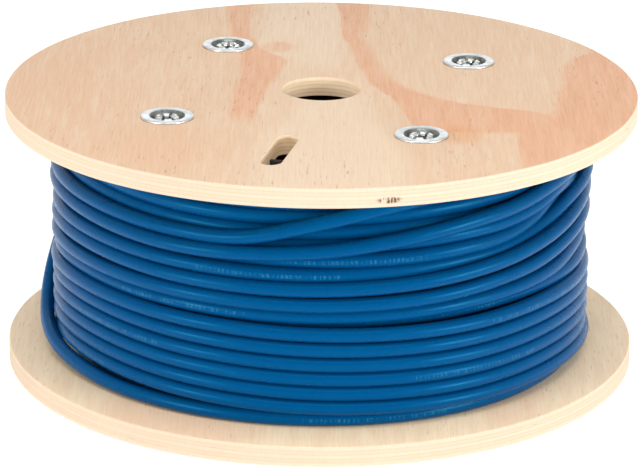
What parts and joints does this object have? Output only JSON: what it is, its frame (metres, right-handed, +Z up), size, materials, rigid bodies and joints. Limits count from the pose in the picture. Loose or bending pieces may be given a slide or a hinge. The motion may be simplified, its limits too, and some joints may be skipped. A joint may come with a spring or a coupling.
{
  "type": "wire spool",
  "caption": "Plywood wire spool wound full with round blue cable: dished-washer tie tubes clamp the flanges on a hollow barrel, with an arbor bore and a start slot.",
  "frame": {"origin": "on the spool's axis, level with the rims of the lower washers, which the spool stands on", "axes": "+Z up along the spool's axis, from the lower flange to the upper flange; the start slot in the upper flange lies towards -Y"},
  "size_m": [0.305, 0.305, 0.1356],
  "materials": {
    "plywood": "sanded bare softwood plywood, matt",
    "fibreboard": "wound brown paperboard, matt",
    "zinc_steel": "bright zinc plated, slightly worn",
    "staple_wire": "galvanised wire, dull",
    "blue_jacket": "satin extruded cable jacket"
  },
  "bodies": {
    "root": {"flange_top": "plywood", "flange_bottom": "plywood", "barrel_tube": "fibreboard", "tie_tube_1": "zinc_steel", "tie_tube_2": "zinc_steel", "tie_tube_3": "zinc_steel", "tie_tube_4": "zinc_steel", "washer_top_1": "zinc_steel", "washer_top_2": "zinc_steel", "washer_top_3": "zinc_steel", "washer_top_4": "zinc_steel", "washer_bottom_1": "zinc_steel", "washer_bottom_2": "zinc_steel", "washer_bottom_3": "zinc_steel", "washer_bottom_4": "zinc_steel", "cable_winding": "blue_jacket", "cable_crossing_turn": "blue_jacket", "cable_last_turn": "blue_jacket", "cable_inner_end": "blue_jacket", "end_staple_1": "staple_wire", "end_staple_2": "staple_wire"}
  },
  "joints": []
}
